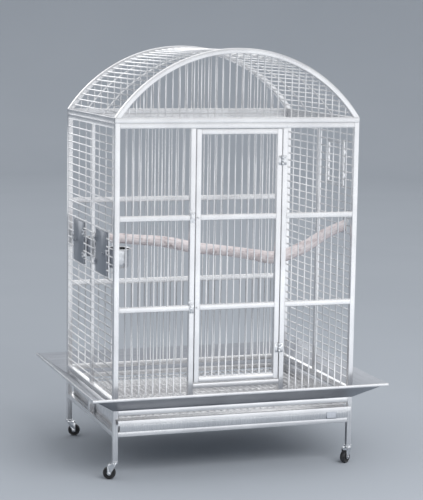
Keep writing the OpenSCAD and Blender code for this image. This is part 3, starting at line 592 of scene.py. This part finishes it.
def skirt(node, turn):
    """One sheet and its rim, drawn as on the front and turned about Z to their side. The rim is the same sheet
    folded over, and its lighter steel is a painted highlight.
    """
    low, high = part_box(node)
    wide = abs(turn) % 180 == 0
    half_len, half_dep = (HALF_W, HALF_D) if wide else (HALF_D, HALF_W)
    across, deep = high.x - low.x, high.y - low.y
    length, depth = (across, deep) if wide else (deep, across)
    out = length / 2 - half_len
    rise = high.z - low.z
    half_t = SHEET_T / 2
    foot, edge = Vector((0.0, half_t)), Vector((out - half_t, rise - half_t))
    join = edge + (foot - edge).normalized() * RIM_BAND
    fold = [join, edge, (out - half_t, rise - RIM_DROP), (out - HEM_IN, rise - RIM_DROP + HEM_RISE)]
    flange = [(out - depth + half_t, half_t), (FLANGE_LAP, half_t)]
    sheet, rim = Shape(), Shape()
    for shape, path, mitred in ((sheet, [foot, join], True), (rim, fold, True), (sheet, flange, False)):
        rings = []
        for side in (-1, 1):
            ring = []
            for o, z in sheet_outline(path, SHEET_T, SKIRT_BEND):
                end = half_len + o if mitred else half_len - TUBE - FLANGE_GAP
                ring.append((side * end, -half_dep - o, low.z + z))
            rings.append(ring)
        shape.loft(rings)
    for shape in (sheet, rim):
        shape.moved(Matrix.Rotation(math.radians(turn), 4, "Z"))
    stand_for(node, sheet)
    # Painted highlight: the sheet's folded rim gets the lighter tube steel so that the lip reads bright
    make_piece("painted_highlight_rim_of_" + node, rim, BODY[node], TUBE_STEEL)


def skirt_seams():
    """Weld along each mitre."""
    low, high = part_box("skirt_front")
    out = -HALF_D - low.y
    shape = Shape()
    for sx in (-1, 1):
        for sy in (-1, 1):
            foot = (sx * (HALF_W + SEAM_INSET), sy * (HALF_D + SEAM_INSET), low.z + SHEET_T + SEAM_LIFT)
            rim = (sx * (HALF_W + out - SEAM_INSET), sy * (HALF_D + out - SEAM_INSET), high.z - SEAM_INSET)
            add_wire(shape, foot, rim, SEAM_R, SEAM_SIDES)
    make_piece("skirt_seams", shape, BODY["skirt_front"], SHEET_STEEL)


for skirt_side, skirt_turn in (("front", 0), ("right", 90), ("back", 180), ("left", -90)):
    skirt("skirt_" + skirt_side, skirt_turn)
skirt_seams()


# Tray

PAN_BEND, BEND_CUT = 0.7, 0.3
LEAST_CORNER = 0.0008
TRAY_WALL, TRAY_CORNER, TRAY_SIDE_LIP = 0.054, 0.004, 0.012
LIP_OUT, LIP_DROP, LIP_BEND = 0.012, 0.022, 0.002
LIP_FOOT = 0.6


def add_pan(shape, width, depth, height, thickness, corner):
    """Open sheet pan on the XY plane with round bends and a turned rim."""
    def ring(inset, z):
        radius = max(corner - inset, LEAST_CORNER)
        return [(x, y, z) for x, y in rounded_rectangle(width - 2 * inset, depth - 2 * inset, radius)]

    bend = corner * PAN_BEND
    cut = bend * BEND_CUT
    outer = [(bend, 0.0), (cut, cut), (0.0, bend), (0.0, height - thickness)]
    inner = [(thickness, height - thickness), (thickness, bend + thickness),
             (thickness + cut, thickness + cut), (thickness + bend, thickness)]
    steps = outer + [(thickness / 2, height)] + inner
    shape.loft([ring(inset, z) for inset, z in steps])


def tray():
    low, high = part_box("tray")
    front = low.y + LIP_OUT
    shape = Shape()
    add_pan(shape, 2 * (high.x - TRAY_SIDE_LIP), high.y - front, TRAY_WALL, SHEET_T, TRAY_CORNER)
    shape.moved(Matrix.Translation((0, (front + high.y) / 2, low.z)))
    half_t = SHEET_T / 2
    fold = [(front + half_t, low.z + TRAY_WALL * LIP_FOOT), (front + half_t, high.z - half_t),
            (low.y + half_t, high.z - half_t), (low.y + half_t, high.z - LIP_DROP)]
    outline = sheet_outline(fold, SHEET_T, LIP_BEND)
    shape.loft([[(side * high.x, y, z) for y, z in outline] for side in (-1, 1)])
    stand_for("tray", shape)


tray()


# Perch: the branch's centre line and thickness come from the CAD branch, its lumps and grooves from noise

BRANCH_SIDES, BRANCH_STEP = 36, 0.006
BRANCH_CORE = 0.96
LUMP, LUMP_ALONG, LUMP_AROUND = 0.05, 9, 0.9
BUMP, BUMP_FINER = 0.03, 3.1
GROOVE, GROOVE_ALONG, GROOVE_AROUND = 0.012, 20, 7


def branch_stations():
    """Rows of x, y, z and radius along the CAD branch."""
    points = mesh_points(NODES["perch"].data)
    places = np.round(points[:, 0], STATION_DIGITS)
    rows = []
    for x in np.unique(places):
        ring = points[places == x]
        low, high = ring.min(0), ring.max(0)
        rows.append((x, (low[1] + high[1]) / 2, (low[2] + high[2]) / 2, (high[1] - low[1]) / 2))
    return np.array(rows)


def branch_reach(x, a):
    """Distance of the skin from the centre line, as a share of the radius."""
    seat = Vector((x * LUMP_ALONG, math.cos(a) * LUMP_AROUND, math.sin(a) * LUMP_AROUND))
    lumps = LUMP * noise.noise(seat) + BUMP * noise.noise(seat * BUMP_FINER)
    slit = Vector((x * GROOVE_ALONG, math.cos(a) * GROOVE_AROUND, math.sin(a) * GROOVE_AROUND))
    return BRANCH_CORE + lumps + GROOVE * noise.noise(slit)


def perch():
    stations = branch_stations()
    first, last = stations[0, 0], stations[-1, 0]
    xs = np.linspace(first, last, round((last - first) / BRANCH_STEP) + 1)
    ys, zs, radii = (np.interp(xs, stations[:, 0], stations[:, i]) for i in (1, 2, 3))
    rise = np.gradient(zs, xs)
    rings = []
    for x, y, z, r, lean in zip(xs, ys, zs, radii, rise):
        stretch = math.sqrt(1 + lean * lean)
        ring = []
        for k in range(BRANCH_SIDES):
            a = 2 * math.pi * k / BRANCH_SIDES
            reach = r * branch_reach(x, a)
            ring.append((x, y + reach * math.cos(a), z + reach * stretch * math.sin(a)))
        rings.append(ring)
    stand_for("perch", Shape().loft(rings))


perch()


# Food cups with a rolled rim, and their rings

CUP_SIDES, CUP_POLE = 56, 0.001
CUP_RIM, CUP_TAPER, CUP_STRAIGHT = 0.006, 0.008, 0.45
FOOT_R, FOOT_IN, FOOT_END, FOOT_STEPS = 0.010, 0.004, -20, 5
ROLL_R, ROLL_DROP, ROLL_STEPS = 0.0016, 0.0017, 6
NECK_DROP, MOUTH_DROP = 0.004, 0.003
WELL_OUT, WELL_RISE, WELL_IN = 0.003, 0.008, 0.006
RING_STEPS, RING_SIDES = 56, 12
ARM_SPREAD, ARM_THINNER, ARM_WELD = 0.65, 0.0005, 0.0012


def cup(node):
    low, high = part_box(node)
    centre = (low + high) / 2
    rim = (high.x - low.x) / 2
    bowl = rim - CUP_RIM
    base = bowl - CUP_TAPER
    inside = bowl - SHEET_T
    depth = high.z - low.z
    profile = [(CUP_POLE, 0.0)]
    profile += arc_points((base - FOOT_IN, FOOT_R), FOOT_R, -90, FOOT_END, FOOT_STEPS)
    profile += [(bowl, depth * CUP_STRAIGHT), (bowl, depth - NECK_DROP)]
    profile += arc_points((rim - ROLL_R, depth - ROLL_DROP), ROLL_R, -90, 90, ROLL_STEPS)
    profile += [(inside, depth - MOUTH_DROP), (inside, depth * CUP_STRAIGHT)]
    profile += [(base + WELL_OUT, WELL_RISE), (base - WELL_IN, SHEET_T), (CUP_POLE, SHEET_T)]
    shape = Shape().loft(lathe(profile, CUP_SIDES))
    shape.moved(Matrix.Translation((centre.x, centre.y, low.z)))
    stand_for(node, shape)


def ring_for(node, cup_node):
    """Wire hoop under the cup's rim, on two arms from the door."""
    low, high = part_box(node)
    cup_low, cup_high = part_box(cup_node)
    centre = (cup_low + cup_high) / 2
    level, wire = (low.z + high.z) / 2, (high.z - low.z) / 2
    radius = (high.y - low.y) / 2 - wire
    rings = []
    for s in range(RING_STEPS):
        a = 2 * math.pi * s / RING_STEPS
        spots = [(radius + u, level + v) for u, v in circle(wire, RING_SIDES)]
        rings.append([(centre.x + r * math.cos(a), centre.y + r * math.sin(a), z) for r, z in spots])
    shape = Shape().loft(rings, along=True)
    end = centre.x - math.sqrt(1 - ARM_SPREAD ** 2) * radius
    for side in (-1, 1):
        arm = Vector((0, centre.y + side * radius * ARM_SPREAD, level))
        add_rod(shape, 0, arm, low.x, end, wire - ARM_THINNER, ARM_WELD)
    stand_for(node, shape)


# Feeder doors: folded pans with hinge straps and a turned knob

DOOR_EDGE, DOOR_CORNER = 0.002, 0.003
SMALL_AXIS_OUT = 0.0043
KNUCKLE_R, KNUCKLE_BORE, KNUCKLE_HALF = 0.004, 0.00205, 0.0036
STRAP_FROM, STRAP_TO, STRAP_HALF = 0.0044, 0.024, 0.012
TAB_TO = 0.0054
STRAP_CORNER, STRAP_EASE = 0.0007, 0.0003
RIVET_SPREAD, STRAP_RIVET_AT, STRAP_RIVET_R = 0.007, 0.016, 0.002
KNOB_AT, KNOB_SIDES = 0.154, 36
KNOB = [(0.0042, 0.0), (0.0036, 0.002), (0.0034, 0.006), (0.0058, 0.0082), (0.0079, 0.0090),
        (0.0080, 0.0104), (0.0070, 0.0117), (0.0040, 0.0120), (0.0003, 0.0120)]


def small_pins(side_x, side_y):
    """Middles of the small hinge pins on one side of the cage, in its front or its rear half."""
    centres = [(low + high) / 2 for low, high in solids("hinge_pins")]
    return [c for c in centres if c.x * side_x > HALF_W and c.y * side_y > 0]


def feeder_door(node, run):
    """run is -1 where the door reaches from its hinges to low Y, 1 where it reaches to high Y."""
    low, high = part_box(node)
    pins = small_pins(-1, run)
    axis_y = pins[0].y
    centre_z = (low.z + high.z) / 2
    edge_y = axis_y + run * DOOR_EDGE
    far_y = low.y if run < 0 else high.y
    outside = -HALF_W - SMALL_LEAF_T
    shape = Shape()
    add_pan(shape, abs(far_y - edge_y), high.z - low.z, high.x + HALF_W, SHEET_T, DOOR_CORNER)
    inwards = Matrix(((0, 0, 1), (1, 0, 0), (0, 1, 0))).to_4x4()
    shape.moved(Matrix.Translation((-HALF_W, (far_y + edge_y) / 2, centre_z)) @ inwards)
    add_turned(shape, KNOB, (-HALF_W, axis_y + run * KNOB_AT, centre_z), (-1, 0, 0), KNOB_SIDES)
    for pin in pins:
        for start, end, half in ((STRAP_FROM, STRAP_TO, STRAP_HALF), (0.0, TAB_TO, KNUCKLE_HALF)):
            ys = sorted((axis_y + run * start, axis_y + run * end))
            add_bar(shape, Vector((outside, ys[0], pin.z - half)),
                    Vector((-HALF_W, ys[1], pin.z + half)), STRAP_CORNER, STRAP_EASE)
        wall = [(KNUCKLE_BORE, -KNUCKLE_HALF), (KNUCKLE_R, -KNUCKLE_HALF), (KNUCKLE_R, KNUCKLE_HALF),
                (KNUCKLE_BORE, KNUCKLE_HALF)]
        knuckle = Shape().loft(lathe(wall, TURNED_SIDES), along=True)
        shape.join(knuckle.moved(Matrix.Translation((-HALF_W - SMALL_AXIS_OUT, axis_y, pin.z))))
        for dz in (-RIVET_SPREAD, RIVET_SPREAD):
            at = (outside, axis_y + run * STRAP_RIVET_AT, pin.z + dz)
            add_rivet(shape, at, (-1, 0, 0), STRAP_RIVET_R)
    stand_for(node, shape)


for place, run in (("front", -1), ("rear", 1)):
    cup("feeder_cup_" + place)
    ring_for("feeder_ring_" + place, "feeder_cup_" + place)
    feeder_door("feeder_door_" + place, run)


# Small fittings, the access door and the caster forks keep their solids with broken edges

FITTING_BEVEL, DOOR_BEVEL, FORK_BEVEL = 0.0004, 0.0008, 0.0006

for fitting in ("hinge_leaves", "hinge_pins", "latch_plates", "perch_fixings", "door_hinge_straps",
                "latch_studs", "latch_hook_upper", "latch_hook_lower", "feeder_latch_front",
                "feeder_latch_rear", "access_latch", "tray_pull", "caster_mounts", "stand_runners"):
    softened(fitting, FITTING_BEVEL)
softened("access_door", DOOR_BEVEL)
for caster in CASTERS:
    softened("caster_fork_" + caster, FORK_BEVEL)


# Screws of the front door's hinges and latch plates, and rivets of the small hinges

FACE_ROOM = 0.001
SCREW_EDGE, SCREW_SPREAD = 0.0068, 0.014
LEAF_RIVET_EDGE, LEAF_RIVET_R = 0.0038, 0.0017
LEAST_PLATE, PLATE_SPREAD = 0.03, 0.018


def add_screw_pair(shape, x, y, z, spread):
    """Two screws on the front, one above the other."""
    for dz in (-spread, spread):
        add_screw(shape, (x, y, z + dz), (0, -1, 0))


def screws():
    on_frame, on_door = Shape(), Shape()
    for low, high in solids("hinge_leaves"):
        middle = (low + high) / 2
        if high.y < -HALF_D + FACE_ROOM:
            add_screw_pair(on_frame, high.x - SCREW_EDGE, -HALF_D - LEAF_T, middle.z, SCREW_SPREAD)
        else:
            out = math.copysign(1, middle.x)
            at_high = out < 0 and middle.y < 0
            y = high.y - LEAF_RIVET_EDGE if at_high else low.y + LEAF_RIVET_EDGE
            for dz in (-RIVET_SPREAD, RIVET_SPREAD):
                at = (out * (HALF_W + SMALL_LEAF_T), y, middle.z + dz)
                add_rivet(on_frame, at, (out, 0, 0), LEAF_RIVET_R)
    for low, high in solids("door_hinge_straps"):
        level = (low.z + high.z) / 2
        add_screw_pair(on_door, low.x + SCREW_EDGE, -HALF_D - LEAF_T, level, SCREW_SPREAD)
    for low, high in solids("latch_plates"):
        x, level = (low.x + high.x) / 2, (low.z + high.z) / 2
        if high.z - low.z > LEAST_PLATE:
            add_screw_pair(on_frame, x, -HALF_D - SMALL_LEAF_T, level, PLATE_SPREAD)
    make_piece("frame_screws", on_frame, BODY["hinge_leaves"], PLATED)
    make_piece("door_screws", on_door, BODY["door_hinge_straps"], PLATED)


screws()


# Axle nuts on the forks, and wheels with a crowned tread and a dished hub

# Nut and axle end: radius, and height over the wheel's middle
NUT = [(0.0062, 0.0171), (0.0070, 0.0176), (0.0070, 0.0204), (0.0062, 0.0209), (0.0003, 0.0209)]
AXLE_END = [(0.0038, 0.0205), (0.0038, 0.0222), (0.0028, 0.0230), (0.0003, 0.0232)]
NUT_SIDES, WHEEL_SIDES = 6, 64

# Side of a wheel: radius of the hub or distance in from the tread, and height over the side's face
HUB = ((0.0045, 0.001), (0.0095, 0.001), (0.011, -0.003))
TYRE = ((0.0105, -0.004), (0.009, -0.001), (0.007, 0.0), (0.003, -0.0006))
WHEEL_HALF = 0.012
TREAD_STEPS, TREAD_SPAN, TREAD_EDGE = 7, 0.9, 0.003
TREAD_GAP, CROWN_DROP = 0.0003, 0.0018


def axle(corner):
    """Direction and middle of a wheel's axle."""
    joint = JOINTS["roll_" + corner]
    return Vector(joint["axis"]), Vector(joint["pos_m"])


def axle_nuts(corner):
    axis, centre = axle(corner)
    shape = Shape()
    for side in (-1, 1):
        add_turned(shape, NUT, centre, side * axis, NUT_SIDES)
        add_turned(shape, AXLE_END, centre, side * axis)
    make_piece("axle_nuts_" + corner, shape, "fork_" + corner, PLATED)


def wheel(corner):
    node = "caster_wheel_" + corner
    low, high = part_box(node)
    axis, centre = axle(corner)
    radius = (high.z - low.z) / 2
    side = [(r, WHEEL_HALF + z) for r, z in HUB] + [(radius - r, WHEEL_HALF + z) for r, z in TYRE]
    tread = [(radius - TREAD_GAP - CROWN_DROP * abs(t) ** 3, -t * (WHEEL_HALF - TREAD_EDGE))
             for t in np.linspace(-TREAD_SPAN, TREAD_SPAN, TREAD_STEPS)]
    profile = side + tread + [(r, -z) for r, z in reversed(side)]
    shape = Shape().loft(lathe(profile, WHEEL_SIDES), along=True)
    stand_for(node, shape.moved(stood_on(centre, axis)))


for caster in CASTERS:
    axle_nuts(caster)
for caster in CASTERS:
    wheel(caster)


# The CAD nodes have the finish of their slot too
for node_name, node_object in NODES.items():
    node_object.data.materials.clear()
    node_object.data.materials.append(BY_SLOT[SLOT[node_name]])


# Floor, light and camera

FLOOR_R, FLOOR_BEND, FLOOR_TOP = 16.0, 4.0, 6.0
FLOOR_SIDES, FLOOR_BEND_STEPS = 96, 12

# Bright cards that only show as reflections: name, place, target, size in metres, watts
CARDS = (
    ("front_card", (2.2, -6.6, 1.35), (0, 0, 1.35), (8.0, 2.7), 65),
    ("left_card", (-5.6, -4.0, 1.35), (0, 0, 1.35), (5.0, 2.7), 40),
    ("right_card", (6.2, -2.6, 1.35), (0, 0, 1.35), (5.0, 2.7), 40),
    ("top_card", (0.0, -1.2, 5.6), (0, 0, 0.8), (6.0, 4.4), 32),
    ("low_card", (0.6, -1.9, 0.42), (0, 0, 0.42), (4.0, 0.8), 5),
    ("tray_card", (1.4, 3.4, 1.05), (0.1, 0, 0.25), (2.8, 0.8), 11),
    ("back_card", (-0.4, 4.0, 3.7), (0, 0, 1.9), (6.0, 1.4), 22),
    ("left_panel_card", (-0.9, 1.9, 1.25), (-0.7, -0.5, 1.25), (0.55, 0.5), 0.9),
    ("left_rods_card", (-0.9, 1.9, 2.45), (-0.7, -0.5, 1.8), (0.55, 1.0), 1.9),
)


def backdrop():
    """Pale floor that curves up to a rim all round, far from the object."""
    curve = arc_points((FLOOR_R, FLOOR_BEND), FLOOR_BEND, -90, 0, FLOOR_BEND_STEPS)
    profile = [(0.0, 0.0)] + curve + [(FLOOR_R + FLOOR_BEND, FLOOR_TOP)]
    bowl = Shape().loft(lathe(profile, FLOOR_SIDES), capped=False)
    mesh = bpy.data.meshes.new("floor")
    mesh.from_pydata([tuple(p) for p in bowl.points], [], bowl.faces)
    mesh.shade_smooth()
    floor = bpy.data.objects.new("floor", mesh)
    bpy.context.scene.collection.objects.link(floor)
    mat, tree, shader = new_material("pale_floor", Roughness=1.0, Specular_IOR_Level=0.0)
    soft = add_noise(tree, coordinates(tree, "Object"), scale=0.8, detail=2.0)
    pale = two_tones(tree, soft, (0.395, 0.425, 0.465), (0.405, 0.435, 0.475))
    tree.links.new(pale, shader.inputs["Base Color"])
    mesh.materials.append(mat)


def area_light(name, at, target, size, power, card):
    """Soft box that lights the set, or with card one that only shows as a reflection."""
    light = bpy.data.lights.new(name, "AREA")
    light.shape = "RECTANGLE"
    light.size, light.size_y = size
    light.energy = power
    lamp = bpy.data.objects.new(name, light)
    lamp.visible_camera = False
    lamp.visible_diffuse = not card
    lamp.visible_glossy = card
    lamp.location = at
    lamp.rotation_euler = (Vector(target) - Vector(at)).to_track_quat("-Z", "Y").to_euler()
    bpy.context.scene.collection.objects.link(lamp)


def camera():
    lens = bpy.data.cameras.new("camera")
    lens.sensor_width = SENSOR_MM
    lens.lens = SENSOR_MM * FOCAL_PX / IMAGE_LONG_PX
    eye = bpy.data.objects.new("camera", lens)
    reach = math.cos(PITCH)
    forward = Vector((math.sin(YAW) * reach, math.cos(YAW) * reach, -math.sin(PITCH)))
    level = Vector((math.cos(YAW), -math.sin(YAW), 0))
    upright = level.cross(forward)
    right = math.cos(ROLL) * level + math.sin(ROLL) * upright
    up = -math.sin(ROLL) * level + math.cos(ROLL) * upright
    turn = Matrix((right, up, -forward)).transposed().to_4x4()
    eye.matrix_world = Matrix.Translation(CAMERA_AT) @ turn
    bpy.context.scene.collection.objects.link(eye)
    bpy.context.scene.camera = eye


def studio():
    world = bpy.data.worlds.new("studio")
    world.use_nodes = True
    sky = world.node_tree.nodes["Background"]
    sky.inputs["Color"].default_value = (0.835, 0.845, 0.86, 1.0)
    sky.inputs["Strength"].default_value = 1.12
    bpy.context.scene.world = world


backdrop()
area_light("key_box", (1.4, -5.0, 4.8), (0, 0, 0.9), (5.0, 3.4), 210, card=False)
for card_setting in CARDS:
    area_light(*card_setting, card=True)
camera()
studio()
bpy.context.scene.view_settings.view_transform = "Standard"
